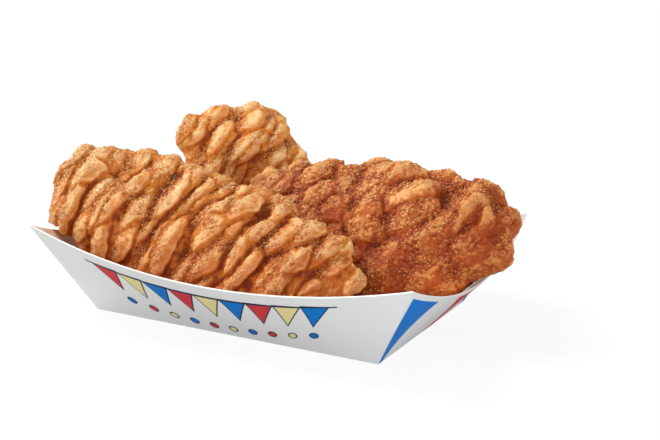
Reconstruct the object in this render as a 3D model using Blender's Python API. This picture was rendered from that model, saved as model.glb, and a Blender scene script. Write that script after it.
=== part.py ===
# Three breaded chicken tenders lying across each other in a folded paper tray.
# Metres, +Z up. The origin is the middle of the tray's underside.

import math

import bmesh
import bpy
from mathutils import Euler, Vector, noise
from mathutils.bvhtree import BVHTree

# Tray
TRAY_BASE = (0.1056, 0.0666)  # length along X and width along Y of the flat base
TRAY_RIM = (0.1400, 0.0928)  # the same between the rim's corners
TRAY_HEIGHT = 0.0305  # the rim's corners above the floor
BOARD = 0.0005  # thickness of the paperboard
SIDE_SAG = 0.0095  # how far the middle of a side wall's rim slides down the wall
SIDE_BOW = 0.0085  # how far the food pushes it outwards
END_SAG = 0.0126
END_BOW = 0.0085
WALL_STEPS = 16  # straight rulings along each wall

CRUST_SEED = 1796030847  # sets how the ridges wander over the tenders

# Tenders: length, width and thickness of the body, how much wider its +X end is, how far its middle
# line swings aside and arches, how square its two ends are, and its place. Turns are degrees.
# A lobe is a swelling or a dent: its middle in the tender's own frame, its radius and its height.
# Ridges have a width along their axis, a length across it and a depth, and they fan out along the
# tender. The shift gives each tender a crust of its own.
TENDERS = {
    "tender_front": {
        "size": (0.1256, 0.0492, 0.0246),
        "widening": -0.03,
        "bend": -0.0017,
        "arch": -0.0076,
        "end_powers": (2.3, 2.3),
        "place": (-0.0177, -0.0238, 0.0311),
        "turn": (46.0, 9.7, -6.0),
        "lobes": (
            ((-0.0509, -0.0153, 0.0000), 0.0119, 0.0024),
            ((-0.0467, 0.0136, 0.0000), 0.0119, -0.0010),
        ),
        "ridge_axis": (0.84, -0.15, -0.52),
        "ridge_size": (0.0060, 0.0170),
        "ridge_depth": 0.0048,
        "ridge_fan": -3.5,
        "shift": 3.1,
        "colour": (0.60, 0.33, 0.11),
    },
    "tender_right": {
        "size": (0.1078, 0.0539, 0.0255),
        "widening": 0.30,
        "bend": -0.0068,
        "arch": 0.0042,
        "end_powers": (2.15, 2.2),
        "place": (0.0241, 0.0161, 0.0297),
        "turn": (33.9, 0.1, -7.0),
        "lobes": (
            ((-0.0051, 0.0119, 0.0127), 0.0059, -0.0025),
            ((0.0170, 0.0170, 0.0110), 0.0102, 0.0012),
            ((0.0441, 0.0085, 0.0085), 0.0068, 0.0034),
            ((0.0509, -0.0068, -0.0017), 0.0102, 0.0036),
            ((0.0110, -0.0210, -0.0060), 0.0110, 0.0050),
            ((-0.0540, 0.0000, 0.0010), 0.0100, -0.0030),
            ((-0.0040, -0.0330, 0.0030), 0.0150, -0.0065),
        ),
        "ridge_axis": (0.65, -0.26, -0.71),
        "ridge_size": (0.0086, 0.0130),
        "ridge_depth": 0.0038,
        "ridge_fan": 0.0,
        "shift": 17.6,
        "colour": (0.42, 0.16, 0.05),
    },
    "tender_back": {
        "size": (0.0772, 0.0458, 0.0195),
        "widening": -0.05,
        "bend": 0.0012,
        "arch": -0.0014,
        "end_powers": (4.8, 2.5),
        "place": (-0.0274, 0.0324, 0.0277),
        "turn": (18.8, 38.1, -24.8),
        "lobes": (
            ((-0.0365, -0.0110, 0.0034), 0.0051, 0.0036),
            ((-0.0305, -0.0204, 0.0000), 0.0102, -0.0025),
            ((0.0000, -0.0070, 0.0080), 0.0110, -0.0050),
        ),
        "ridge_axis": (0.83, 0.51, -0.21),
        "ridge_size": (0.0058, 0.0150),
        "ridge_depth": 0.0040,
        "ridge_fan": 0.0,
        "shift": 41.3,
        "colour": (0.52, 0.24, 0.07),
    },
}

# Crust relief, shared by the tenders
RIDGE_LEAN = 0.6  # how far a ridge leans over the hollow beside it
RIDGE_DOME = 1.5  # how fast a ridge falls away from its crest
LUMP_SIZE = 0.0204
LUMP_DEPTH = 0.0022
CRAG_SIZE = 0.0039
CRAG_DEPTH = 0.0008
WARP_SIZE = 0.0170  # bends in the ridges
WARP_DEPTH = 0.0036
CRUST_OFFSET = 0.0015  # the ridges' tops stand this far over the plain body

# Where things touch
CONTACT_GAP = 0.0016  # between the finely meshed tenders, and between them and the board
CONTACT_ROUNDS = 18
LAST_GAP = 0.0006  # the same, once they have their final faces
LAST_ROUNDS = 8
CONTACT_REACH = 0.010
GIVE = 0.6  # the share of an overlap by which each of two tenders gives way in a round
LEDGE = 0.012
LEDGE_RISE = 0.1
SKY = 0.2  # a height above everything

# Meshes
PLAIN_RINGS = 40
PLAIN_SIDES = 48
VOXEL = 0.0012
TENDER_TRIANGLES = 4200


def clear_scene():
    for thing in list(bpy.data.objects):
        bpy.data.objects.remove(thing, do_unlink=True)


def plain_material(name, colour, roughness):
    material = bpy.data.materials.new(name)
    material.use_nodes = True
    shader = material.node_tree.nodes["Principled BSDF"]
    shader.inputs["Base Color"].default_value = (*colour, 1.0)
    shader.inputs["Roughness"].default_value = roughness
    shader.inputs["Metallic"].default_value = 0.0
    return material


def add_object(name, mesh, material):
    thing = bpy.data.objects.new(name, mesh)
    bpy.context.scene.collection.objects.link(thing)
    mesh.materials.append(material)
    return thing


def rim_point(corner, next_corner, foot, next_foot, outward, sag, bow, along):
    """A point of a wall's top edge: straight between its corners, then slid down and pushed out."""
    down = ((foot + next_foot) / 2 - (corner + next_corner) / 2).normalized()
    swell = 4 * along * (1 - along)
    return corner.lerp(next_corner, along) + (down * sag + outward * bow) * swell


def tray_corners():
    """The base's corners and the rim's corners, anticlockwise seen from above."""
    feet = []
    tops = []
    for side_x, side_y in ((-1, -1), (1, -1), (1, 1), (-1, 1)):
        feet.append(Vector((side_x * TRAY_BASE[0] / 2, side_y * TRAY_BASE[1] / 2, 0)))
        tops.append(Vector((side_x * TRAY_RIM[0] / 2, side_y * TRAY_RIM[1] / 2, TRAY_HEIGHT)))
    return feet, tops


def wall_rulings(steps):
    """Bottom and top ends of the straight lines that make up each of the four walls."""
    feet, tops = tray_corners()
    outwards = (Vector((0, -1, 0)), Vector((1, 0, 0)), Vector((0, 1, 0)), Vector((-1, 0, 0)))
    walls = []
    for wall, outward in enumerate(outwards):
        after = (wall + 1) % 4
        sag, bow = (SIDE_SAG, SIDE_BOW) if wall % 2 == 0 else (END_SAG, END_BOW)
        lines = []
        for step in range(steps + 1):
            along = step / steps
            bottom = feet[wall].lerp(feet[after], along)
            top = rim_point(
                tops[wall], tops[after], feet[wall], feet[after], outward, sag, bow, along
            )
            lines.append((bottom, top))
        walls.append(lines)
    return walls


def make_tray():
    """One sheet of board: a flat base and four walls, given its thickness towards the inside."""
    sheet = bmesh.new()
    bottoms = []
    tops = []
    for lines in wall_rulings(WALL_STEPS):
        for bottom, top in lines[:-1]:
            bottoms.append(sheet.verts.new(bottom))
            tops.append(sheet.verts.new(top))
    count = len(bottoms)
    for here in range(count):
        after = (here + 1) % count
        sheet.faces.new((bottoms[here], bottoms[after], tops[after], tops[here]))
    sheet.faces.new(list(reversed(bottoms)))
    mesh = bpy.data.meshes.new("tray")
    sheet.to_mesh(mesh)
    sheet.free()
    tray = add_object("tray", mesh, plain_material("coated_board", (0.84, 0.84, 0.83), 0.45))
    board = tray.modifiers.new("board", "SOLIDIFY")
    board.thickness = BOARD
    board.offset = -1.0
    board.use_even_offset = True
    return tray


def middle_line(along, form):
    """Middle of the cross-section at along, which runs from -1 to 1."""
    swell = 1 - along * along
    return Vector((along * form["size"][0] / 2, form["bend"] * swell, form["arch"] * swell))


def plain_body(form):
    """The tender without its crust relief, in its own frame: length along X, broad faces up and down."""
    body = bmesh.new()
    rings = []
    for ring in range(1, PLAIN_RINGS):
        along = -math.cos(math.pi * ring / PLAIN_RINGS)
        power = form["end_powers"][0 if along < 0 else 1]
        fullness = (1 - abs(along) ** power) ** (1 / power)
        wide = form["size"][1] / 2 * fullness * (1 + form["widening"] * along)
        thick = form["size"][2] / 2 * fullness * (1 + form["widening"] * along / 2)
        middle = middle_line(along, form)
        points = []
        for side in range(PLAIN_SIDES):
            angle = 2 * math.pi * side / PLAIN_SIDES
            offset = Vector((0, wide * math.cos(angle), thick * math.sin(angle)))
            points.append(body.verts.new(middle + offset))
        rings.append(points)
    for ring, after in zip(rings, rings[1:]):
        for side in range(PLAIN_SIDES):
            beside = (side + 1) % PLAIN_SIDES
            body.faces.new((ring[side], ring[beside], after[beside], after[side]))
    for ring, along in ((rings[0], -1), (rings[-1], 1)):
        tip = body.verts.new(middle_line(along, form))
        for side in range(PLAIN_SIDES):
            body.faces.new((ring[side], ring[(side + 1) % PLAIN_SIDES], tip))
    bmesh.ops.recalc_face_normals(body, faces=body.faces)
    return body


def crust_height(point, form):
    """Height of the crust over the plain body: leaning ridges on lumps, broken up by crags."""
    shift = Vector((form["shift"], 0.0, 0.0))
    wander = noise.noise_vector(point / WARP_SIZE + shift) * WARP_DEPTH
    moved = point + wander
    moved.x += form["ridge_fan"] * moved.x * moved.y
    axis = Vector(form["ridge_axis"]).normalized()
    width, length = form["ridge_size"]
    cell = moved / length + axis * moved.dot(axis) * (1 / width - 1 / length) + shift
    distances, centres = noise.voronoi(cell)
    dome = 1 - RIDGE_DOME * distances[0] ** 2
    ridge = dome + RIDGE_LEAN * (cell - centres[0]).dot(axis)
    lump = noise.noise(point / LUMP_SIZE - shift)
    crag = noise.noise(moved / CRAG_SIZE + shift)
    height = (ridge - 1) * form["ridge_depth"] + lump * LUMP_DEPTH + crag * CRAG_DEPTH
    for middle, radius, rise in form["lobes"]:
        height += rise * math.exp(-(((point - Vector(middle)).length / radius) ** 2))
    return height + CRUST_OFFSET


def apply_modifiers(thing):
    """Gives the object the mesh that its modifiers leave."""
    view = bpy.context.evaluated_depsgraph_get()
    mesh = bpy.data.meshes.new_from_object(thing.evaluated_get(view), depsgraph=view)
    thing.modifiers.clear()
    thing.data = mesh
    mesh.name = thing.name


def remesh(thing):
    """Even faces all over, with no folds left in the surface."""
    even = thing.modifiers.new("even", "REMESH")
    even.mode = "VOXEL"
    even.voxel_size = VOXEL
    apply_modifiers(thing)


def make_tender(name, form):
    """A tender with its relief in fine faces, placed by its location and rotation."""
    body = plain_body(form)
    mesh = bpy.data.meshes.new(name)
    body.to_mesh(mesh)
    body.free()
    tender = add_object(name, mesh, plain_material(name + "_crust", form["colour"], 0.6))
    remesh(tender)
    normals = [vertex.normal.copy() for vertex in tender.data.vertices]
    for vertex, normal in zip(tender.data.vertices, normals):
        vertex.co += normal * crust_height(vertex.co, form)
    remesh(tender)
    tender.location = form["place"]
    tender.rotation_euler = Euler([math.radians(angle) for angle in form["turn"]])
    return tender


def thin_out(tender):
    """Fewer triangles, most of them where the crust bends most."""
    triangles = sum(len(face.vertices) - 2 for face in tender.data.polygons)
    fewer = tender.modifiers.new("fewer", "DECIMATE")
    fewer.ratio = min(1.0, TENDER_TRIANGLES / triangles)
    fewer.use_collapse_triangulate = True
    apply_modifiers(tender)


def support_tree():
    """What food rests on: the base, the walls, and a ledge round the rim for food that hangs over it."""
    feet, _ = tray_corners()
    points = list(feet)
    faces = [(0, 1, 2, 3)]
    for lines in wall_rulings(WALL_STEPS):
        for pair in zip(lines, lines[1:]):
            first = len(points)
            for bottom, top in pair:
                away = Vector((top.x / TRAY_RIM[0], top.y / TRAY_RIM[1], LEDGE_RISE)).normalized()
                points += [bottom, top, top + away * LEDGE]
            faces.append((first, first + 3, first + 4, first + 1))
            faces.append((first + 1, first + 4, first + 5, first + 2))
    return BVHTree.FromPolygons(points, faces)


def world_tree(thing):
    points = [thing.matrix_world @ vertex.co for vertex in thing.data.vertices]
    faces = [tuple(face.vertices) for face in thing.data.polygons]
    return BVHTree.FromPolygons(points, faces)


def push_from(point, tree, gap):
    """How far a point has to move to stand gap clear of the surface in front of it."""
    spot, normal, _, _ = tree.find_nearest(point, CONTACT_REACH)
    if spot is None:
        return Vector()
    short = gap - (point - spot).dot(normal)
    return normal * short if short > 0 else Vector()


def lifted(point, support, gap):
    """The point's height, raised where it would be lower than the board under it."""
    spot, normal, _, _ = support.ray_cast(Vector((point.x, point.y, SKY)), Vector((0, 0, -1)))
    if spot is None:
        return point.z
    return max(point.z, spot.z + (BOARD + gap) / abs(normal.z))


def press_together(tenders, gap, rounds):
    """Presses the soft tenders flat where they would meet each other, the walls or the base."""
    support = support_tree()
    for _ in range(rounds):
        trees = [world_tree(tender) for tender in tenders]
        for tender, own in zip(tenders, trees):
            inverse = tender.matrix_world.inverted()
            for vertex in tender.data.vertices:
                point = tender.matrix_world @ vertex.co
                for tree in trees:
                    if tree is not own:
                        point += push_from(point, tree, gap) * GIVE
                point.z = lifted(point, support, gap)
                vertex.co = inverse @ point


def main():
    clear_scene()
    noise.seed_set(CRUST_SEED)
    make_tray()
    tenders = [make_tender(name, form) for name, form in TENDERS.items()]
    bpy.context.view_layer.update()
    press_together(tenders, CONTACT_GAP, CONTACT_ROUNDS)
    for tender in tenders:
        thin_out(tender)
    press_together(tenders, LAST_GAP, LAST_ROUNDS)


main()
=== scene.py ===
import math

import bpy
import numpy as np
from mathutils import Euler, Matrix, Vector, noise
from mathutils.bvhtree import BVHTree


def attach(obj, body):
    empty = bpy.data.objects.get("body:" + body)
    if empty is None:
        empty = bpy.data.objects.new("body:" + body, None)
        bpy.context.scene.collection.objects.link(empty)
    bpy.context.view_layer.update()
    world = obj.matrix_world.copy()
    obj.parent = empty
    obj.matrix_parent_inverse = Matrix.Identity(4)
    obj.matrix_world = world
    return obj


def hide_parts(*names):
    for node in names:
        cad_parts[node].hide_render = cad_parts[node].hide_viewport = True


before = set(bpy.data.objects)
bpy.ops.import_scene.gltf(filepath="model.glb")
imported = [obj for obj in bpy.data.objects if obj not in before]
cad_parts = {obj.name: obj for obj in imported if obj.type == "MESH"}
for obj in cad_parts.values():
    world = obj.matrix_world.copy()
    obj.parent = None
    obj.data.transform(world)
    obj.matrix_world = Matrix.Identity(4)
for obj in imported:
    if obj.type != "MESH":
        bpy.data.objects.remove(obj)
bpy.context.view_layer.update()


# camera, floor and lights

cameraSettings = {
    "azimuth": 27.41,  # degrees round from the front, towards the right
    "elevation": 16.65,
    "roll": 0.51,
    "distance": 0.54881,
    "target": (0.01737, 0.00161, 0.03256),
    "lens": 90.05,  # mm on a 36 mm sensor
    "nearest": 0.01,  # where the view starts
}

studioSettings = {
    "floorSize": 30.0,
    "floorColour": (0.48, 0.48, 0.48), "floorRoughness": 0.9, "floorSpecular": 0.1,
    "skyColour": (0.94, 0.97, 1.0),
    "skyStrength": 0.56,
    "floorGlow": (0.80, 1.12),  # share and strength of the white that keeps the floor's shadow faint
    "lights": {  # where each comes from, its strength, its width in degrees and its colour
        "keyLight": ((-0.80, 0.05, 0.85), 2.62, 24.0, (1.0, 0.97, 0.93)),
        "fillLight": ((-0.45, -0.85, 0.25), 1.33, 60.0, (1.0, 0.99, 0.98)),
        "endLight": ((0.95, -0.25, 0.09), 1.60, 20.0, (0.97, 0.99, 1.0)),
    },
}


def aimCamera(settings):
    azimuth = math.radians(settings["azimuth"])
    elevation = math.radians(settings["elevation"])
    roll = math.radians(settings["roll"])
    back = Vector((
        math.sin(azimuth) * math.cos(elevation),
        -math.cos(azimuth) * math.cos(elevation),
        math.sin(elevation),
    ))
    right = Vector((math.cos(azimuth), math.sin(azimuth), 0))
    up = back.cross(right)
    tiltedRight = math.cos(roll) * right + math.sin(roll) * up
    tiltedUp = -math.sin(roll) * right + math.cos(roll) * up
    place = Vector(settings["target"]) + back * settings["distance"]
    bpy.ops.object.camera_add()
    camera = bpy.context.object
    camera.name = "camera"
    camera.data.lens = settings["lens"]
    camera.data.clip_start = settings["nearest"]
    axes = Matrix((tiltedRight, tiltedUp, back)).transposed()
    camera.matrix_world = Matrix.Translation(place) @ axes.to_4x4()
    bpy.context.scene.camera = camera


def makeFloor(settings):
    bpy.ops.mesh.primitive_plane_add(size=settings["floorSize"], location=(0, 0, 0))
    floor = bpy.context.object
    floor.name = "floor"
    paint = bpy.data.materials.new("floorPaint")
    paint.use_nodes = True
    shader = paint.node_tree.nodes["Principled BSDF"]
    shader.inputs["Base Color"].default_value = (*settings["floorColour"], 1)
    shader.inputs["Roughness"].default_value = settings["floorRoughness"]
    shader.inputs["Specular IOR Level"].default_value = settings["floorSpecular"]
    tree = paint.node_tree
    output = tree.nodes["Material Output"]
    glowShare, glowStrength = settings["floorGlow"]
    glow = addNode(tree, "ShaderNodeEmission", (0, -400))
    glow.inputs["Strength"].default_value = glowStrength
    path = addNode(tree, "ShaderNodeLightPath", (0, 400))
    share = mathNode(tree, (200, 300), "MULTIPLY", path.outputs["Is Camera Ray"], glowShare)
    mix = addNode(tree, "ShaderNodeMixShader", (400, 0))
    tree.links.new(share, mix.inputs[0])
    tree.links.new(shader.outputs[0], mix.inputs[1])
    tree.links.new(glow.outputs[0], mix.inputs[2])
    tree.links.new(mix.outputs[0], output.inputs["Surface"])
    floor.data.materials.append(paint)


def lightStudio(settings):
    for name, (source, strength, width, colour) in settings["lights"].items():
        bpy.ops.object.light_add(type="SUN")
        light = bpy.context.object
        light.name = name
        light.data.energy = strength
        light.data.angle = math.radians(width)
        light.data.color = colour
        light.rotation_euler = Vector(source).to_track_quat("Z", "Y").to_euler()

    world = bpy.data.worlds.new("studio")
    world.use_nodes = True
    sky = world.node_tree.nodes["Background"]
    sky.inputs["Color"].default_value = (*settings["skyColour"], 1)
    sky.inputs["Strength"].default_value = settings["skyStrength"]
    bpy.context.scene.world = world
    bpy.context.scene.view_settings.view_transform = "Standard"


# helpers for meshes

def choose(thing):
    bpy.ops.object.select_all(action="DESELECT")
    thing.select_set(True)
    bpy.context.view_layer.objects.active = thing


def applyModifiers(thing):
    choose(thing)
    for modifier in list(thing.modifiers):
        bpy.ops.object.modifier_apply(modifier=modifier.name)


def smoothstep(low, high, value):
    share = np.clip((value - low) / (high - low), 0, 1)
    return share * share * (3 - 2 * share)


def meshPoints(mesh):
    points = np.empty(len(mesh.vertices) * 3, np.float32)
    mesh.vertices.foreach_get("co", points)
    return points.reshape(-1, 3).astype(float)


def meshNormals(mesh):
    normals = np.empty(len(mesh.vertices) * 3, np.float32)
    mesh.vertex_normals.foreach_get("vector", normals)
    return normals.reshape(-1, 3).astype(float)


def setPoints(mesh, points):
    mesh.vertices.foreach_set("co", points.astype(np.float32).ravel())
    mesh.update()


def setValues(mesh, name, values):
    attribute = mesh.attributes.new(name, "FLOAT", "POINT")
    attribute.data.foreach_set("value", values.astype(np.float32))


def smoothed(mesh, rows, rounds):
    # each row of values drawn halfway to the mean of its neighbours, round after round
    edges = np.empty(len(mesh.edges) * 2, np.int32)
    mesh.edges.foreach_get("vertices", edges)
    first, second = edges.reshape(-1, 2).T
    count = len(rows)
    neighbours = np.bincount(first, minlength=count) + np.bincount(second, minlength=count)
    neighbours = np.maximum(neighbours, 1)
    result = rows.copy()
    for _ in range(rounds):
        columns = []
        for column in result.T:
            total = np.bincount(first, column[second], count)
            total = total + np.bincount(second, column[first], count)
            columns.append(total / neighbours)
        result = (result + np.stack(columns, axis=1)) / 2
    return result


def treeOf(thing):
    corners = [vertex.co for vertex in thing.data.vertices]
    faces = [tuple(face.vertices) for face in thing.data.polygons]
    return BVHTree.FromPolygons(corners, faces)


# tenders

crustSettings = {
    "seed": 1796030847,  # the solids' own, so that the ridges wander as theirs do
    "voxel": 0.00047,
    "draftVoxel": 0.0008,
    "weld": 0.00001,  # corners of the solid closer than this are one
    "facetRounds": 21,  # smoothing that hides the source's facets before the crust goes on
    "bend": (0.0170, 0.0036),  # size and depth of the ridges' bends
    "dome": 1.5, "lean": 0.6,  # how round a ridge is, and how far it leans over the hollow beside it
    "leanFull": 0.22,  # how far from its border a ridge leans fully
    "crinkle": (0.0030, 0.0007),  # size and depth of the small waves along each ridge
    "lip": (0.17, 0.09),  # where the thin raised edge of a ridge runs, and its half width
    "lipSide": (0.4, 2.5),  # how much of the edge stands up midway, and how that grows to one side
    "crest": (-0.06, 0.15),  # the middle and half width of the pale band along a ridge's top
    "crestFull": 0.25,  # how far from its border a ridge's top is fully pale
    "sharpRounds": 56, "sharpness": 0.54,  # how much crisper than the source's the ridges are
    "evenRounds": 88,  # smoothing of the far edges, where the ridges die away
    "evenBlend": 0.010,
    "flank": (0.08, 0.32),  # where a ridge's smooth side starts, and where it is fully smooth
    "crumbSide": (-0.50, -0.20, 0.84), "crumbsFaceUp": 0.6, "crumbFacing": 0.55,
    "crumbPatch": (0.0075, 0.0032, 0.45),  # sizes of the large and small patches, and the small ones' share
    "crumbStart": 0.55, "crumbEdge": 3.2,  # where a patch starts, and how sharp its edge is
    "crumbShift": (0.0030, 0.3),  # size and depth of the unevenness of their rows
    "crumbRound": 0.60,
    "paintedShadeHeights": (0.046, 0.022), "paintedShadeLow": 0.75,  # painted shade: the crust's colour is darker down in the tray, where less light reaches it
    "calmFlanks": 0.65,  # how much smoother the side that a ridge leans to is
    "patchSize": 0.0090, "patchDepth": 1.6,  # of the smooth places on the flanks
    "lumpSize": 0.0085, "smallLump": (0.0042, 0.5),
    "wrinkleSize": 0.0026, "wrinkleOctaves": 3,
    "nearRounds": 13,  # smoothing that the fine relief is measured against
    "farRounds": 176,
    "nearDepth": 0.00030,
    "farDepth": 0.0011,
    "neighbourReach": 0.006, "keepClear": 0.0002,
    "palest": 1.5,
}

# For each tender: where it lies and how it is turned in degrees, then values in its own frame.
# A place or a dent has a middle, a radius and a strength. A fold has a line, a height and a half width.
tenderSettings = {
    "tender_front": {
        "piece": "crustFront", "slot": "crust_front",
        "place": (-0.0177, -0.0238, 0.0311), "turn": (46.0, 9.7, -6.0),
        "axis": (0.84, -0.15, -0.52), "ridge": (0.0060, 0.0170), "depth": 0.0048, "fan": -3.5,
        "shift": 3.1, "lip": 0.0004, "wrinkle": 0.0007, "lump": 0.0005, "smoothSides": 0.85,
        "evenEdge": (0.0630, 0.0225, 0.80, 1.00), "evenSide": ((-0.2, 1.0, 0.0), -0.010),
        "crumb": 0.00050, "crumbCover": 0.748, "crumbSize": 0.0013,
        "crest": (0.96, 0.66, 0.32), "body": (0.70, 0.246, 0.028), "flank": (0.56, 0.150, 0.009),
        "deep": (0.35, 0.068, 0.004), "scorch": (0.40, 0.082, 0.007), "scorchCover": 0.18,
        "darkened": (((0.052, -0.010, 0.0), 0.020, 0.3),),
        "paled": (((-0.050, 0.008, 0.004), 0.012, 0.6),),
        "folds": (
            (((0.050, 0.009, 0.003), (0.052, 0.014, 0.000), (0.060, 0.008, 0.002), (0.062, 0.001, 0.001)),
             0.0008, 0.0014),
        ),
        "dents": (),
    },
    "tender_right": {
        "piece": "crustRight", "slot": "crust_right",
        "place": (0.0241, 0.0161, 0.0297), "turn": (33.9, 0.1, -7.0),
        "axis": (0.65, -0.26, -0.71), "ridge": (0.0086, 0.0130), "depth": 0.0038, "fan": 0.0,
        "shift": 17.6, "lip": 0.0001, "wrinkle": 0.0008, "lump": 0.0010, "smoothSides": 0.45,
        "evenEdge": (0.0570, 0.0230, 0.82, 1.00), "evenSide": ((1.0, 0.5, 0.0), -0.005),
        "crumb": 0.00060, "crumbCover": 0.968, "crumbSize": 0.0014,
        "crest": (0.89, 0.48, 0.17), "body": (0.55, 0.138, 0.010), "flank": (0.45, 0.082, 0.004),
        "deep": (0.27, 0.033, 0.0015), "scorch": (0.34, 0.046, 0.003), "scorchCover": 0.34,
        "darkened": (
            ((0.050, 0.000, 0.0), 0.018, 1.0), ((0.036, -0.022, 0.011), 0.013, 0.5),
            ((-0.003, -0.007, 0.017), 0.009, 0.7),
        ),
        "paled": (((-0.041, 0.002, 0.009), 0.009, 1.0), ((0.012, 0.010, 0.016), 0.010, 0.5)),
        "folds": (
            (((0.0405, -0.006, 0.011), (0.041, 0.000, 0.012), (0.042, 0.0045, 0.013), (0.043, 0.0075, 0.013),
              (0.0455, 0.0065, 0.012), (0.047, 0.0035, 0.0105)), 0.0019, 0.0015),
            (((-0.0445, 0.000, 0.008), (-0.041, 0.003, 0.0095), (-0.035, 0.002, 0.010)), 0.0014, 0.0013),
            (((-0.0135, -0.0050, 0.0160), (-0.0125, -0.0115, 0.0150)), 0.0017, 0.0024),
        ),
        "dents": (((0.0490, -0.0040, 0.0105), 0.0060, 0.0014), ((0.0450, 0.0010, 0.0120), 0.0022, 0.0008)),
    },
    "tender_back": {
        "piece": "crustBack", "slot": "crust_back",
        "place": (-0.0274, 0.0324, 0.0277), "turn": (18.8, 38.1, -24.8),
        "axis": (0.83, 0.51, -0.21), "ridge": (0.0058, 0.0150), "depth": 0.0040, "fan": 0.0,
        "shift": 41.3, "lip": 0.0004, "wrinkle": 0.0006, "lump": 0.0005, "smoothSides": 0.95,
        "evenEdge": (0.0400, 0.0250, 0.84, 1.02), "evenSide": ((-1.0, 0.3, 0.0), -0.005),
        "crumb": 0.00050, "crumbCover": 0.726, "crumbSize": 0.0013,
        "crest": (0.95, 0.65, 0.31), "body": (0.81, 0.300, 0.036), "flank": (0.66, 0.180, 0.010),
        "deep": (0.42, 0.088, 0.007), "scorch": (0.44, 0.092, 0.010), "scorchCover": 0.22,
        "darkened": (),
        "paled": (((-0.034, 0.013, 0.004), 0.010, 0.5),),
        "folds": (),
        "dents": (),
    },
}


def clamped(value):
    return max(0.0, min(1.0, value))


def ridgeAt(point, settings, look):
    # the same cells as the solid's ridges have, with crinkled edges
    shift = Vector((look["shift"], 0.0, 0.0))
    bendSize, bendDepth = settings["bend"]
    crinkleSize, crinkleDepth = settings["crinkle"]
    moved = point + noise.noise_vector(point / bendSize + shift) * bendDepth
    moved.x += look["fan"] * moved.x * moved.y
    moved += noise.noise_vector(point / crinkleSize - shift) * crinkleDepth
    axis = Vector(look["axis"]).normalized()
    width, length = look["ridge"]
    cell = moved / length + axis * moved.dot(axis) * (1 / width - 1 / length) + shift
    distances, centres = noise.voronoi(cell)
    border = distances[1] - distances[0]
    side = (cell - centres[0]).dot(axis)
    lipPlace, lipWidth = settings["lip"]
    dome = 1 - settings["dome"] * distances[0] ** 2
    dome += settings["lean"] * side * clamped(border / settings["leanFull"])
    lipMidway, lipGrowth = settings["lipSide"]
    lip = math.exp(-((border - lipPlace) / lipWidth) ** 2) * clamped(lipMidway + lipGrowth * side)
    flankStart, flankFull = settings["flank"]
    flank = clamped((side - flankStart) / (flankFull - flankStart))
    patch = noise.noise(point / settings["patchSize"] + shift * 3)
    flank *= clamped(look["smoothSides"] + settings["patchDepth"] * patch)
    crestPlace, crestWidth = settings["crest"]
    crest = math.exp(-((side - crestPlace) / crestWidth) ** 2) * clamped(border / settings["crestFull"])
    return dome * look["depth"], lip * look["lip"], crest, flank


def crumbsAt(point, faces, settings, look):
    # small swellings all over, and crumbs in patches, mostly on what faces up and to the left
    shift = Vector((look["shift"], 0.0, 0.0))
    largePatch, smallPatch, smallShare = settings["crumbPatch"]
    patch = noise.noise(point / largePatch - shift * 2) + smallShare * noise.noise(point / smallPatch + shift)
    patch += settings["crumbsFaceUp"] * (faces - settings["crumbFacing"])
    cover = clamped((patch - settings["crumbStart"] + look["crumbCover"]) * settings["crumbEdge"])
    rowSize, rowDepth = settings["crumbShift"]
    cell = point / look["crumbSize"] + shift + noise.noise_vector(point / rowSize) * rowDepth
    crumb = max(0.0, 1 - (noise.voronoi(cell)[0][0] / settings["crumbRound"]) ** 2) * cover
    smallLump, smallLumpShare = settings["smallLump"]
    lump = noise.noise(point / settings["lumpSize"] + shift)
    lump += smallLumpShare * noise.noise(point / smallLump - shift)
    wrinkled = point / settings["wrinkleSize"] + shift
    octaves = settings["wrinkleOctaves"]
    swelling = noise.turbulence(wrinkled, octaves, True, noise_basis="PERLIN_ORIGINAL")
    height = crumb * look["crumb"] + lump * look["lump"] + (swelling - 0.5) * look["wrinkle"]
    return height, cover


def foldShare(own, line, halfWidth):
    # 1 along the line through these points, dying away to both sides
    nearest = np.full(len(own), np.inf)
    for first, second in zip(np.array(line), np.array(line[1:])):
        run = second - first
        share = np.clip((own - first) @ run / (run @ run), 0, 1)
        nearest = np.minimum(nearest, np.linalg.norm(own - first - share[:, None] * run, axis=1))
    return np.exp(-(nearest / halfWidth) ** 2)


def placeShare(own, middle, radius):
    # 1 at a place, dying away round it
    return np.exp(-(np.linalg.norm(own - np.array(middle), axis=1) / radius) ** 2)


def farEdgeShare(own, settings, look):
    # 1 at the edges whose ridges die away, 0 elsewhere
    lengthReach, widthReach, ridged, even = look["evenEdge"]
    direction, start = look["evenSide"]
    share = smoothstep(ridged, even, np.hypot(own[:, 0] / lengthReach, own[:, 1] / widthReach))
    return share * smoothstep(start, start + settings["evenBlend"], own @ np.array(direction))


def limitedByNeighbours(points, normals, heights, trees, settings):
    # the crust rises at most to halfway across the space to what is beside it
    limited = heights.copy()
    for index, point in enumerate(points):
        here = Vector(point)
        for tree in trees:
            spot, _, _, distance = tree.find_nearest(here, settings["neighbourReach"])
            if spot is not None and (spot - here).dot(Vector(normals[index])) > 0:
                limited[index] = min(limited[index], distance / 2 - settings["keepClear"])
    return limited


def copySolid(node, settings, look):
    # the node's form as a fine even mesh, with its facets smoothed away
    bpy.ops.object.select_all(action="DESELECT")
    tender = bpy.data.objects.new(look["piece"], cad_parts[node].data.copy())
    bpy.context.scene.collection.objects.link(tender)
    choose(tender)
    bpy.ops.object.mode_set(mode="EDIT")
    bpy.ops.mesh.select_all(action="SELECT")
    bpy.ops.mesh.remove_doubles(threshold=settings["weld"])
    bpy.ops.mesh.normals_make_consistent(inside=False)
    bpy.ops.object.mode_set(mode="OBJECT")
    tender.data.materials.clear()
    even = tender.modifiers.new("even", "REMESH")
    even.mode = "VOXEL"
    even.voxel_size = settings["voxel"]
    soften = tender.modifiers.new("soften", "SMOOTH")
    soften.factor = 0.5
    soften.iterations = settings["facetRounds"]
    applyModifiers(tender)
    return tender


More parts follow.
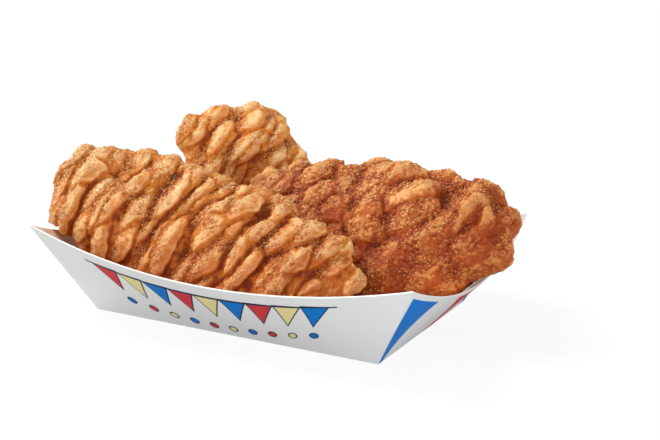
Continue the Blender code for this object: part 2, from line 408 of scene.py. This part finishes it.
def raiseCrust(mesh, settings, look, neighbours, fewer):
    # moves the surface out and in, and gives each point's place in the tender's own frame and its cover
    points = meshPoints(mesh)
    normals = meshNormals(mesh)
    turn = Euler([math.radians(angle) for angle in look["turn"]]).to_matrix()
    own = (points - np.array(look["place"])) @ np.array(turn)
    ownPoints = [Vector(point) for point in own]
    evened = farEdgeShare(own, settings, look)
    smooth = smoothed(mesh, points, round(settings["evenRounds"] * fewer))
    points = points + (smooth - points) * evened[:, None]
    ridges = np.array([ridgeAt(point, settings, look) for point in ownPoints])
    ridges[:, 0] *= 1 - evened
    facing = normals @ np.array(settings["crumbSide"])
    crumbs = [crumbsAt(point, faces, settings, look) for point, faces in zip(ownPoints, facing)]
    crumbs = np.array(crumbs)
    sharp = ridges[:, :1] - smoothed(mesh, ridges[:, :1], round(settings["sharpRounds"] * fewer))
    calm = 1 - settings["calmFlanks"] * ridges[:, 3]
    heights = sharp[:, 0] * settings["sharpness"] + ridges[:, 1] + crumbs[:, 0] * calm
    pale = ridges[:, 2] * (1 - 0.5 * evened)
    for line, height, halfWidth in look["folds"]:
        folded = foldShare(own, line, halfWidth)
        heights += folded * height
        pale = np.maximum(pale, folded)
    for middle, radius, strength in look["paled"]:
        pale += strength * placeShare(own, middle, radius)
    flank = ridges[:, 3]
    for middle, radius, depth in look["dents"]:
        dent = placeShare(own, middle, radius)
        heights -= dent * depth
        flank = np.maximum(flank, dent)
    heights = limitedByNeighbours(points, normals, heights, neighbours, settings)
    setPoints(mesh, points + normals * heights[:, None])
    setValues(mesh, "crest", np.clip(pale, 0, settings["palest"]))
    setValues(mesh, "flank", flank)
    setValues(mesh, "crumbCover", crumbs[:, 1])
    return own


def markRelief(mesh, settings, look, own, fewer):
    # how far each point stands out from what is near it and from what is round it, and where its colour is
    # darkened: painted shade low down in the tray, and the listed places
    points = meshPoints(mesh)
    normals = meshNormals(mesh)
    near = smoothed(mesh, points, max(2, round(settings["nearRounds"] * fewer)))
    far = smoothed(mesh, near, max(6, round(settings["farRounds"] * fewer)))
    nearRelief = ((points - near) * normals).sum(axis=1) / settings["nearDepth"]
    farRelief = ((near - far) * normals).sum(axis=1) / settings["farDepth"]
    setValues(mesh, "nearRelief", 0.5 + 0.5 * np.clip(nearRelief, -1, 1))
    setValues(mesh, "farRelief", 0.5 + 0.5 * np.clip(farRelief, -1, 1))
    # painted shade: the colour is darkened low down in the tray, where less light reaches
    darkened = smoothstep(*settings["paintedShadeHeights"], points[:, 2]) * settings["paintedShadeLow"]
    for middle, radius, strength in look["darkened"]:
        darkened += strength * placeShare(own, middle, radius)
    setValues(mesh, "darkened", np.clip(darkened, 0, 1))


def makeTender(node, settings, look, neighbours):
    tender = copySolid(node, settings, look)
    fewer = 1
    own = raiseCrust(tender.data, settings, look, neighbours, fewer)
    markRelief(tender.data, settings, look, own, fewer)
    choose(tender)
    bpy.ops.object.shade_smooth()
    print(look["piece"], "has", len(tender.data.vertices), "points")
    return tender


# node building

def addNode(tree, kind, place, **values):
    node = tree.nodes.new(kind)
    node.location = place
    for name, value in values.items():
        setattr(node, name, value)
    return node


def mixColours(tree, place, share, first, second, blend="MIX"):
    node = addNode(tree, "ShaderNodeMix", place, data_type="RGBA", blend_type=blend)
    for socket, value in ((node.inputs[0], share), (node.inputs[6], first), (node.inputs[7], second)):
        if hasattr(value, "is_linked"):
            tree.links.new(value, socket)
        else:
            socket.default_value = value if isinstance(value, (int, float)) else (*value, 1)
    return node.outputs[2]


def mathNode(tree, place, operation, *values):
    node = addNode(tree, "ShaderNodeMath", place, operation=operation)
    for socket, value in zip(node.inputs, values):
        if hasattr(value, "is_linked"):
            tree.links.new(value, socket)
        else:
            socket.default_value = value
    return node.outputs[0]


def rangeNode(tree, place, value, low, high, newLow=0.0, newHigh=1.0):
    node = addNode(tree, "ShaderNodeMapRange", place, interpolation_type="SMOOTHSTEP")
    tree.links.new(value, node.inputs["Value"])
    for name, setting in zip(("From Min", "From Max", "To Min", "To Max"), (low, high, newLow, newHigh)):
        node.inputs[name].default_value = setting
    return node.outputs["Result"]


def noiseNode(tree, place, where, scale, detail=2.0, roughness=0.5):
    node = addNode(tree, "ShaderNodeTexNoise", place)
    tree.links.new(where, node.inputs["Vector"])
    node.inputs["Scale"].default_value = scale
    node.inputs["Detail"].default_value = detail
    node.inputs["Roughness"].default_value = roughness
    return node.outputs["Fac"]


def addBump(tree, height, strength, distance):
    bump = addNode(tree, "ShaderNodeBump", (-250, -250))
    bump.inputs["Strength"].default_value = strength
    bump.inputs["Distance"].default_value = distance
    tree.links.new(height, bump.inputs["Height"])
    tree.links.new(bump.outputs["Normal"], tree.nodes["Principled BSDF"].inputs["Normal"])


def voronoiDistance(tree, place, where, scale):
    node = addNode(tree, "ShaderNodeTexVoronoi", place)
    tree.links.new(where, node.inputs["Vector"])
    node.inputs["Scale"].default_value = scale
    return node.outputs["Distance"]


def cellsNode(tree, place, where, scale):
    # rounded grains, 1 at the middle of each and 0 between them
    distance = voronoiDistance(tree, place, where, scale)
    return rangeNode(tree, (place[0] + 150, place[1]), distance, *crustFinish["grainEdge"])


fibreRange = (0.2, 0.8)  # of a fine noise, from its lowest to its highest

# the crust's finish

crustFinish = {
    "patchScale": 130, "blotchScale": 420,
    "grainScale": 1700, "grainRoughness": 0.65,
    "grainCells": (980, 1750), "smallGrains": 0.7,  # scales of the large and small grains
    "grainEdge": (0.62, 0.10),  # how far from its middle a grain ends, and where it is full
    "calmFlanks": 0.60,
    "crumbGrains": 0.60, "bareGrains": 0.40,  # how much the grains show on crumbs and elsewhere
    "reliefShare": 0.46, "crestShare": 0.26, "unevenness": 0.50,  # what makes a place paler or darker; the colour follows how far a place stands out, partly the crust's own tone and partly painted light on the tops and painted shade in the hollows
    "body": (0.12, 0.44), "crest": (0.50, 0.92), "flankShare": 0.70,
    "scorch": (0.72, 1.02), "scorchMost": 0.75, "scorchHeight": (0.85, 0.45),
    "paleAndHighlitTops": (0.35, 0.85), "paleShare": 0.60,  # the grains' tops, paler partly in their own colour and partly as painted highlight
    "gapShare": 0.80, "gapPaintedShade": (0.72, 0.48, 0.34),  # painted shade between the grains
    # tint of the darkened places, painted shade low in the tray among them
    "darkenedTint": (0.82, 0.62, 0.48),
    "pepperScale": 230, "pepperEdge": (0.075, 0.050), "pepper": (0.09, 0.03, 0.012),
    "tops": (0.2, 0.8), "roughness": (0.58, 0.36),  # of the gaps and of the grains' tops
    "fineGrain": 0.22, "grainHeight": 0.00042,
    "oilScale": 900, "oil": (0.60, 0.74), "oilMost": 0.50, "oilRoughness": 0.16,
    "translucency": 0.25, "glowReach": (1.0, 0.30, 0.08), "glowDepth": 0.0017,
    "specular": 0.26,
}


def crustSockets(group):
    for name in ("Crest", "Body", "Flank", "Deep", "Scorch"):
        group.interface.new_socket(name, in_out="INPUT", socket_type="NodeSocketColor")
    group.interface.new_socket("Scorch cover", in_out="INPUT", socket_type="NodeSocketFloat")
    group.interface.new_socket("Colour", in_out="OUTPUT", socket_type="NodeSocketColor")
    for name in ("Roughness", "Grain", "Oil"):
        group.interface.new_socket(name, in_out="OUTPUT", socket_type="NodeSocketFloat")


def grainNodes(group, finish, where, fromMesh):
    # the grains' tops and the gaps between them, fainter on the smooth flanks
    large = cellsNode(group, (-1100, -900), where, finish["grainCells"][0])
    small = cellsNode(group, (-1100, -1100), where, finish["grainCells"][1])
    small = mathNode(group, (-900, -1100), "MULTIPLY", small, finish["smallGrains"])
    grains = mathNode(group, (-700, -1000), "MAXIMUM", large, small)
    calm = mathNode(group, (-1100, 0), "MULTIPLY", fromMesh["flank"], finish["calmFlanks"])
    kept = mathNode(group, (-1000, 0), "SUBTRACT", 1.0, calm)
    crumbs, bare = finish["crumbGrains"], finish["bareGrains"]
    rough = mathNode(group, (-1100, 150), "MULTIPLY_ADD", fromMesh["crumbCover"], crumbs, bare)
    granular = mathNode(group, (-900, 100), "MULTIPLY", rough, kept)
    tops = mathNode(group, (-500, -900), "MULTIPLY", grains, granular)
    gaps = mathNode(group, (-500, -1100), "SUBTRACT", granular, tops)
    return tops, gaps


def riseNodes(group, finish, where, fromMesh, grain):
    # how far a place stands out, with blotches and speckles over it; the colour follows it, partly as the
    # crust's own tone and partly as painted light on the tops and painted shade in the hollows
    most = finish["unevenness"]
    blotches = noiseNode(group, (-1100, -500), where, finish["blotchScale"], 3)
    uneven = mathNode(group, (-900, -400), "MULTIPLY_ADD", blotches, most, -most / 2)
    speckled = mathNode(group, (-900, -600), "MULTIPLY_ADD", grain, most, -most / 2)
    rise = mathNode(group, (-1000, 500), "ADD", fromMesh["nearRelief"], fromMesh["farRelief"])
    rise = mathNode(group, (-850, 500), "MULTIPLY_ADD", rise, finish["reliefShare"], uneven)
    rise = mathNode(group, (-700, 500), "ADD", rise, speckled)
    return mathNode(group, (-550, 500), "MULTIPLY_ADD", fromMesh["crest"], finish["crestShare"], rise)


def friedCrustGroup(finish):
    group = bpy.data.node_groups.new("friedCrust", "ShaderNodeTree")
    crustSockets(group)
    start = addNode(group, "NodeGroupInput", (-1400, 0))
    end = addNode(group, "NodeGroupOutput", (1400, 0))
    where = addNode(group, "ShaderNodeTexCoord", (-1400, -500)).outputs["Object"]
    fromMesh = {}
    for row, name in enumerate(("nearRelief", "farRelief", "crumbCover", "crest", "flank", "darkened")):
        reader = addNode(group, "ShaderNodeAttribute", (-1400, 900 - 150 * row), attribute_name=name)
        fromMesh[name] = reader.outputs["Fac"]
    grain = noiseNode(group, (-1100, -700), where, finish["grainScale"], 3, finish["grainRoughness"])
    tops, gaps = grainNodes(group, finish, where, fromMesh)
    rise = riseNodes(group, finish, where, fromMesh, grain)

    # deep places, then the body, the crests and the smooth flanks: partly the crust's own colours, partly
    # painted shade in the hollows and on the flanks that face away from the key light, and painted light on
    # the tops
    toBody = rangeNode(group, (-400, 500), rise, *finish["body"])
    toCrest = rangeNode(group, (-400, 300), rise, *finish["crest"])
    colour = mixColours(group, (-200, 500), toBody, start.outputs["Deep"], start.outputs["Body"])
    colour = mixColours(group, (-50, 500), toCrest, colour, start.outputs["Crest"])
    # partly painted shade: the smooth flanks, which face away from the key light, take the darker Flank
    # colour
    onFlank = mathNode(group, (-200, 200), "MULTIPLY", fromMesh["flank"], finish["flankShare"])
    colour = mixColours(group, (100, 500), onFlank, colour, start.outputs["Flank"])

    # patches that fried darker, mostly low down between the ridges
    patches = noiseNode(group, (-1100, -300), where, finish["patchScale"], 2)
    scorched = mathNode(group, (-550, -300), "ADD", patches, start.outputs["Scorch cover"])
    scorched = rangeNode(group, (-350, -300), scorched, *finish["scorch"], 0.0, finish["scorchMost"])
    low = rangeNode(group, (-350, -480), rise, *finish["scorchHeight"])
    scorched = mathNode(group, (-150, -300), "MULTIPLY", scorched, low)
    colour = mixColours(group, (250, 400), scorched, colour, start.outputs["Scorch"])

    # pale grain tops, partly painted highlight; darker gaps, painted shade; darkened places; and pepper
    # partly painted highlight: the grains' tops are made paler
    pale = rangeNode(group, (-100, -100), tops, *finish["paleAndHighlitTops"])
    pale = mathNode(group, (100, -100), "MULTIPLY", pale, finish["paleShare"])
    colour = mixColours(group, (400, 400), pale, colour, start.outputs["Crest"])
    # painted shade: the gaps between the grains are darkened
    shade = mathNode(group, (250, -100), "MULTIPLY", gaps, finish["gapShare"])
    colour = mixColours(group, (550, 400), shade, colour, finish["gapPaintedShade"], "MULTIPLY")
    # darkened places: painted shade low down in the tray, and the listed places
    colour = mixColours(group, (700, 400), fromMesh["darkened"], colour, finish["darkenedTint"], "MULTIPLY")
    speck = voronoiDistance(group, (-550, -600), where, finish["pepperScale"])
    pepper = rangeNode(group, (-350, -650), speck, *finish["pepperEdge"])
    colour = mixColours(group, (850, 400), pepper, colour, finish["pepper"])
    group.links.new(colour, end.inputs["Colour"])

    roughness = rangeNode(group, (850, 0), tops, *finish["tops"], *finish["roughness"])
    group.links.new(roughness, end.inputs["Roughness"])
    height = mathNode(group, (700, -300), "MULTIPLY_ADD", grain, finish["fineGrain"], tops)
    group.links.new(height, end.inputs["Grain"])
    film = noiseNode(group, (600, -600), where, finish["oilScale"], 2)
    film = rangeNode(group, (850, -600), film, *finish["oil"], 0.0, finish["oilMost"])
    group.links.new(film, end.inputs["Oil"])
    return group


def crustMaterial(name, look, group, finish):
    material = bpy.data.materials.new(name)
    material.use_nodes = True
    tree = material.node_tree
    shader = tree.nodes["Principled BSDF"]
    crust = addNode(tree, "ShaderNodeGroup", (-500, 0), node_tree=group)
    for socket in ("Crest", "Body", "Flank", "Deep", "Scorch"):
        crust.inputs[socket].default_value = (*look[socket.lower()], 1)
    crust.inputs["Scorch cover"].default_value = look["scorchCover"]
    tree.links.new(crust.outputs["Colour"], shader.inputs["Base Color"])
    tree.links.new(crust.outputs["Roughness"], shader.inputs["Roughness"])
    tree.links.new(crust.outputs["Oil"], shader.inputs["Coat Weight"])
    addBump(tree, crust.outputs["Grain"], 1.0, finish["grainHeight"])
    shader.inputs["Subsurface Weight"].default_value = finish["translucency"]
    shader.inputs["Subsurface Radius"].default_value = finish["glowReach"]
    shader.inputs["Subsurface Scale"].default_value = finish["glowDepth"]
    shader.inputs["Specular IOR Level"].default_value = finish["specular"]
    shader.inputs["Coat Roughness"].default_value = finish["oilRoughness"]
    return material


# tray

traySettings = {
    "base": (0.1056, 0.0666),  # flat base between its folds
    "rim": (0.1400, 0.0928),  # between the rim's corners
    "height": 0.0305,
    "sideSag": 0.0095, "sideBow": 0.0085,  # how far the middle of a side's rim slides down and is pushed out
    "endSag": 0.0126, "endBow": 0.0085,
    "board": 0.0005,
    "stepsAlong": 48, "stepsUp": 10,
    "sharpest": 30,  # degrees between faces past which a fold stays sharp
    "white": (0.86, 0.86, 0.85), "cloudy": 0.97, "cloudScale": 60,
    "fibreScale": 1500, "fibreDetail": 4, "fibreRoughness": 0.6, "fibreHeight": 0.0001, "fibreStrength": 0.12,
    "sheen": (0.36, 0.50),  # roughness between and on the fibres
    # partly grease stains, partly painted reflection and shade: the inside near the food is tinted
    # orange-brown
    "greaseAndBounce": (0.82, 0.42, 0.19), "greaseAndBounceReach": 0.023,
    "greaseAndBounceLevel": 0.03,  # how much the base counts as inside, against the walls
    "greaseSpots": 220, "greaseSpread": (0.25, 0.70), "greaseLeast": 0.35,
    "specular": 0.5,
}


def trayCorner(turn, size, height):
    sideX = (-1, 1, 1, -1)[turn % 4]
    sideY = (-1, -1, 1, 1)[turn % 4]
    return Vector((sideX * size[0] / 2, sideY * size[1] / 2, height))


def wallPoint(wall, along, up, settings=traySettings):
    foot, nextFoot = (trayCorner(wall + step, settings["base"], 0) for step in (0, 1))
    top, nextTop = (trayCorner(wall + step, settings["rim"], settings["height"]) for step in (0, 1))
    outward = (Vector((0, -1, 0)), Vector((1, 0, 0)), Vector((0, 1, 0)), Vector((-1, 0, 0)))[wall]
    kind = "side" if wall % 2 == 0 else "end"
    down = ((foot + nextFoot) / 2 - (top + nextTop) / 2).normalized()
    midway = 4 * along * (1 - along)
    sunk = down * settings[kind + "Sag"] + outward * settings[kind + "Bow"]
    edge = top.lerp(nextTop, along) + sunk * midway
    return foot.lerp(nextFoot, along).lerp(edge, up)


def foldBoard(settings):
    # a flat base with straight flared walls, raised ring by ring
    bpy.ops.object.select_all(action="DESELECT")
    bpy.ops.mesh.primitive_plane_add(size=1, location=(0, 0, 0))
    board = bpy.context.object
    board.name = "trayBoard"
    baseX, baseY = settings["base"]
    rimX, rimY = settings["rim"]
    bpy.ops.object.mode_set(mode="EDIT")
    bpy.ops.transform.resize(value=(baseX, baseY, 1), center_override=(0, 0, 0))
    bpy.ops.mesh.subdivide(number_cuts=settings["stepsAlong"] - 1)
    bpy.ops.mesh.region_to_loop()
    sizeX, sizeY = baseX, baseY
    for step in range(1, settings["stepsUp"] + 1):
        up = step / settings["stepsUp"]
        nextX = baseX + (rimX - baseX) * up
        nextY = baseY + (rimY - baseY) * up
        rise = settings["height"] / settings["stepsUp"]
        bpy.ops.mesh.extrude_region_move(TRANSFORM_OT_translate={"value": (0, 0, rise)})
        bpy.ops.transform.resize(value=(nextX / sizeX, nextY / sizeY, 1), center_override=(0, 0, 0))
        sizeX, sizeY = nextX, nextY
    bpy.ops.object.mode_set(mode="OBJECT")
    return board


def bendWalls(mesh, settings):
    # each wall's points go to their places on the bowed and dipping wall
    baseX, baseY = settings["base"]
    rimX, rimY = settings["rim"]
    bent = []
    for vertex in mesh.vertices:
        x, y, z = vertex.co
        up = z / settings["height"]
        if up < 0.5 / settings["stepsUp"]:
            bent.append((x, y, z))
            continue
        reachX = (baseX + (rimX - baseX) * up) / 2
        reachY = (baseY + (rimY - baseY) * up) / 2
        if abs(y) / reachY > abs(x) / reachX:
            wall = 0 if y < 0 else 2
            along = (x / reachX + 1) / 2 if wall == 0 else (1 - x / reachX) / 2
        else:
            wall = 1 if x > 0 else 3
            along = (y / reachY + 1) / 2 if wall == 1 else (1 - y / reachY) / 2
        bent.append(wallPoint(wall, along, up))
    for vertex, place in zip(mesh.vertices, bent):
        vertex.co = place


def markGreaseAndBounce(board, settings, foodTrees):
    # the inside is tinted near the food: partly grease stains, partly painted reflection of the food's warm
    # bounce light and painted shade
    points = meshPoints(board.data)
    normals = meshNormals(board.data)
    greaseAndBounce = np.zeros(len(points))
    for index, (point, normal) in enumerate(zip(points, normals)):
        distance = min(tree.find_nearest(Vector(point))[3] for tree in foodTrees)
        inward = -point[0] * normal[0] - point[1] * normal[1] + normal[2] * settings["greaseAndBounceLevel"]
        if inward > 0:
            greaseAndBounce[index] = 1 - distance / settings["greaseAndBounceReach"]
    setValues(board.data, "greaseAndBounce", np.clip(greaseAndBounce, 0, 1))


def makeBoard(settings, foodTrees):
    board = foldBoard(settings)
    bendWalls(board.data, settings)
    choose(board)
    bpy.ops.object.mode_set(mode="EDIT")
    bpy.ops.mesh.select_all(action="SELECT")
    bpy.ops.mesh.normals_make_consistent(inside=False)
    bpy.ops.object.mode_set(mode="OBJECT")
    if board.data.polygons[0].normal.z > 0:
        board.data.flip_normals()
    thickness = board.modifiers.new("board", "SOLIDIFY")
    thickness.thickness = settings["board"]
    thickness.offset = -1
    thickness.use_even_offset = True
    applyModifiers(board)
    bpy.ops.object.shade_smooth_by_angle(angle=math.radians(settings["sharpest"]))
    markGreaseAndBounce(board, settings, foodTrees)
    return board


def boardMaterial(settings):
    material = bpy.data.materials.new("coatedBoard")
    material.use_nodes = True
    tree = material.node_tree
    shader = tree.nodes["Principled BSDF"]
    where = addNode(tree, "ShaderNodeTexCoord", (-1200, 0)).outputs["Object"]
    greaseAndBounce = addNode(tree, "ShaderNodeAttribute", (-1200, 300), attribute_name="greaseAndBounce").outputs["Fac"]
    detail, roughness = settings["fibreDetail"], settings["fibreRoughness"]
    cloud = noiseNode(tree, (-1000, 0), where, settings["cloudScale"], 3)
    fibre = noiseNode(tree, (-1000, -250), where, settings["fibreScale"], detail, roughness)
    spots = noiseNode(tree, (-1000, -450), where, settings["greaseSpots"], detail, roughness)
    cloudy = [settings["cloudy"] * part for part in settings["white"]]
    tint = mixColours(tree, (-700, 0), cloud, cloudy, settings["white"])
    spread = rangeNode(tree, (-1000, 200), spots, *settings["greaseSpread"], settings["greaseLeast"], 1.0)
    greaseAndBounceMask = mathNode(tree, (-800, 300), "MULTIPLY", greaseAndBounce, spread)
    # partly grease stains, partly painted reflection of the food's bounce light and painted shade
    tint = mixColours(tree, (-500, 100), greaseAndBounceMask, tint, settings["greaseAndBounce"])
    tree.links.new(tint, shader.inputs["Base Color"])
    sheen = rangeNode(tree, (-500, -200), fibre, *fibreRange, *settings["sheen"])
    tree.links.new(sheen, shader.inputs["Roughness"])
    addBump(tree, fibre, settings["fibreStrength"], settings["fibreHeight"])
    shader.inputs["Specular IOR Level"].default_value = settings["specular"]
    return material


# printing on the tray

printSettings = {
    "lift": 0.00003,  # each layer of ink over the one below
    "inkThickness": 0.00002,
    "footMargin": 0.012, "rimMargin": 0.93,  # how far up the wall the stripes start and end
    "stripes": (  # colour, then the shares along the wall at its foot and at its rim
        ("Blue", (0.000, 0.035), (0.020, 0.195)),
        ("Red", (0.480, 0.620), (0.360, 0.590)),
        ("Blue", (0.965, 1.000), (0.805, 0.980)),
    ),
    "flags": 9,
    "flagWidth": 0.0083, "flagHeight": 0.0104,
    "triangle": (1.155, 1.333),  # the width and height of a circle round a triangle to the triangle's own
    "outline": 0.0005, "flagOutline": (3.5, 4.5),  # how many outlines wider and taller a flag's edge is
    "string": (0.165, 0.815, 0.84, 0.79),  # its two ends along the wall, then its height at them and midway
    "stringWidth": 0.0006, "stringPast": 0.03,  # it runs on past the outer flags
    "dots": 10, "dotWidth": 0.0024, "dotCorners": 24,
    "dotHeights": (0.34, 0.17),  # up the wall at the row's ends and midway
    "inks": {
        "Blue": (0.003, 0.185, 0.62), "Red": (0.66, 0.040, 0.055),
        "Yellow": (0.83, 0.72, 0.33), "Navy": (0.020, 0.035, 0.085),
    },
    "paleInk": 0.03, "paleRange": (0.55, 0.80),  # how much paper shows through in fine specks
    "inkScale": 1800, "inkSheen": (0.30, 0.42), "inkSpecular": 0.08,
}


def wrapOnWall(piece, wall, place, layer):
    lift = printSettings["lift"] * layer
    small = 0.002
    for vertex in piece.data.vertices:
        along, up = place(vertex.co.x, vertex.co.y)
        spot = wallPoint(wall, along, up)
        east = wallPoint(wall, along + small, up) - wallPoint(wall, along - small, up)
        north = wallPoint(wall, along, up + small) - wallPoint(wall, along, up - small)
        vertex.co = spot + east.cross(north).normalized() * lift


def printStripe(wall, foot, rim):
    bpy.ops.object.select_all(action="DESELECT")
    bpy.ops.mesh.primitive_grid_add(x_subdivisions=6, y_subdivisions=14, size=1, location=(0.5, 0.5, 0))
    bpy.ops.object.transform_apply(location=True)
    stripe = bpy.context.object
    lowest, highest = printSettings["footMargin"], printSettings["rimMargin"]

    def place(x, y):
        low = foot[0] + (foot[1] - foot[0]) * x
        high = rim[0] + (rim[1] - rim[0]) * x
        return low + (high - low) * y, lowest + (highest - lowest) * y

    wrapOnWall(stripe, wall, place, 1)
    return stripe


def wallHeight(wall, along):
    return (wallPoint(wall, along, 1) - wallPoint(wall, along, 0)).length


def panelPlace(wall, centre):
    # millimetre-true x and y round a point of the wall

    def place(x, y):
        width = (wallPoint(wall, 1, centre[1]) - wallPoint(wall, 0, centre[1])).length
        return centre[0] + x / width, centre[1] + y / wallHeight(wall, centre[0])

    return place


def printShape(wall, corners, centre, width, height, layer):
    bpy.ops.object.select_all(action="DESELECT")
    turned = (0, 0, math.pi)
    bpy.ops.mesh.primitive_circle_add(vertices=corners, radius=1, fill_type="TRIFAN", rotation=turned)
    bpy.ops.object.transform_apply(rotation=True)
    shape = bpy.context.object
    bpy.ops.object.mode_set(mode="EDIT")
    bpy.ops.transform.resize(value=(width / 2, height / 2, 1), center_override=(0, 0, 0))
    bpy.ops.mesh.subdivide(number_cuts=2)
    bpy.ops.object.mode_set(mode="OBJECT")
    wrapOnWall(shape, wall, panelPlace(wall, centre), layer)
    return shape


def stringAt(share):
    start, stop, endHeight, middleHeight = printSettings["string"]
    swell = 4 * share * (1 - share)
    return start + (stop - start) * share, endHeight + (middleHeight - endHeight) * swell


def printString(wall):
    bpy.ops.object.select_all(action="DESELECT")
    bpy.ops.mesh.primitive_grid_add(x_subdivisions=60, y_subdivisions=1, size=1, location=(0.5, 0, 0))
    bpy.ops.object.transform_apply(location=True)
    string = bpy.context.object
    past = printSettings["stringPast"]

    def place(x, y):
        along, up = stringAt(-past + (1 + 2 * past) * x)
        return along, up + y * printSettings["stringWidth"] / wallHeight(wall, along)

    wrapOnWall(string, wall, place, 3)
    return string


def joinPieces(pieces, name, material):
    choose(pieces[0])
    for piece in pieces[1:]:
        piece.select_set(True)
    bpy.ops.object.join()
    joined = bpy.context.object
    joined.name = name
    joined.data.name = name
    joined.data.materials.clear()
    joined.data.materials.append(material)
    body = joined.modifiers.new("ink", "SOLIDIFY")
    body.thickness = printSettings["inkThickness"]
    body.offset = 1
    applyModifiers(joined)
    return joined


def inkMaterial(name, colour):
    material = bpy.data.materials.new(name)
    material.use_nodes = True
    tree = material.node_tree
    shader = tree.nodes["Principled BSDF"]
    where = addNode(tree, "ShaderNodeTexCoord", (-900, 0)).outputs["Object"]
    fine = noiseNode(tree, (-700, 0), where, printSettings["inkScale"], 3, 0.6)
    specks = rangeNode(tree, (-550, 100), fine, *printSettings["paleRange"])
    pale = [part + (1 - part) * printSettings["paleInk"] for part in colour]
    tree.links.new(mixColours(tree, (-400, 0), specks, colour, pale), shader.inputs["Base Color"])
    sheen = rangeNode(tree, (-400, -200), fine, *fibreRange, *printSettings["inkSheen"])
    tree.links.new(sheen, shader.inputs["Roughness"])
    shader.inputs["Specular IOR Level"].default_value = printSettings["inkSpecular"]
    return material


def printFlags(wall, layers):
    width, height = printSettings["flagWidth"], printSettings["flagHeight"]
    wider, taller = printSettings["triangle"]
    edge = printSettings["outline"]
    sideEdge, endEdge = printSettings["flagOutline"]
    count = printSettings["flags"]
    for flag in range(count):
        along, up = stringAt((flag + 0.5) / count)
        centre = (along, up - height / 3 / wallHeight(wall, along))
        colour = ("Red", "Yellow", "Blue")[flag % 3]
        inner = (width * wider, height * taller)
        outer = (inner[0] + edge * sideEdge, inner[1] + edge * endEdge)
        layers["Navy"].append(printShape(wall, 3, centre, *outer, 1))
        layers[colour].append(printShape(wall, 3, centre, *inner, 2))


def printDots(wall, layers):
    ends, middle = printSettings["dotHeights"]
    size, edge = printSettings["dotWidth"], printSettings["outline"]
    corners, count = printSettings["dotCorners"], printSettings["dots"]
    for dot in range(count):
        share = (dot + 0.5) / count
        centre = (stringAt(share)[0], ends + (middle - ends) * 4 * share * (1 - share))
        colour = ("Blue", "Red", "Yellow")[dot % 3]
        layers["Navy"].append(printShape(wall, corners, centre, size + edge * 2, size + edge * 2, 1))
        layers[colour].append(printShape(wall, corners, centre, size, size, 2))


def printTray():
    layers = {name: [] for name in printSettings["inks"]}
    for wall in (1, 3):
        for colour, foot, rim in printSettings["stripes"]:
            layers[colour].append(printStripe(wall, foot, rim))
    for wall in (0, 2):
        printFlags(wall, layers)
        layers["Navy"].append(printString(wall))
        printDots(wall, layers)
    inks = []
    for name, pieces in layers.items():
        material = inkMaterial("ink" + name, printSettings["inks"][name])
        inks.append(joinPieces(pieces, "print" + name, material))
    return inks


# everything

aimCamera(cameraSettings)
makeFloor(studioSettings)
lightStudio(studioSettings)
print("studio ready")

noise.seed_set(crustSettings["seed"])
nodeTrees = {name: treeOf(thing) for name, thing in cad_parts.items()}
crustGroup = friedCrustGroup(crustFinish)
for node, look in tenderSettings.items():
    others = [tree for name, tree in nodeTrees.items() if name != node]
    tender = makeTender(node, crustSettings, look, others)
    tender.data.materials.append(crustMaterial(look["piece"], look, crustGroup, crustFinish))
    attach(tender, "root")
    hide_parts(node)
print("tenders ready")

foodTrees = [tree for name, tree in nodeTrees.items() if name != "tray"]
trayBoard = makeBoard(traySettings, foodTrees)
trayBoard.data.materials.append(boardMaterial(traySettings))
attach(trayBoard, "root")
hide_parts("tray")
for ink in printTray():
    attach(ink, "root")
print("tray ready")
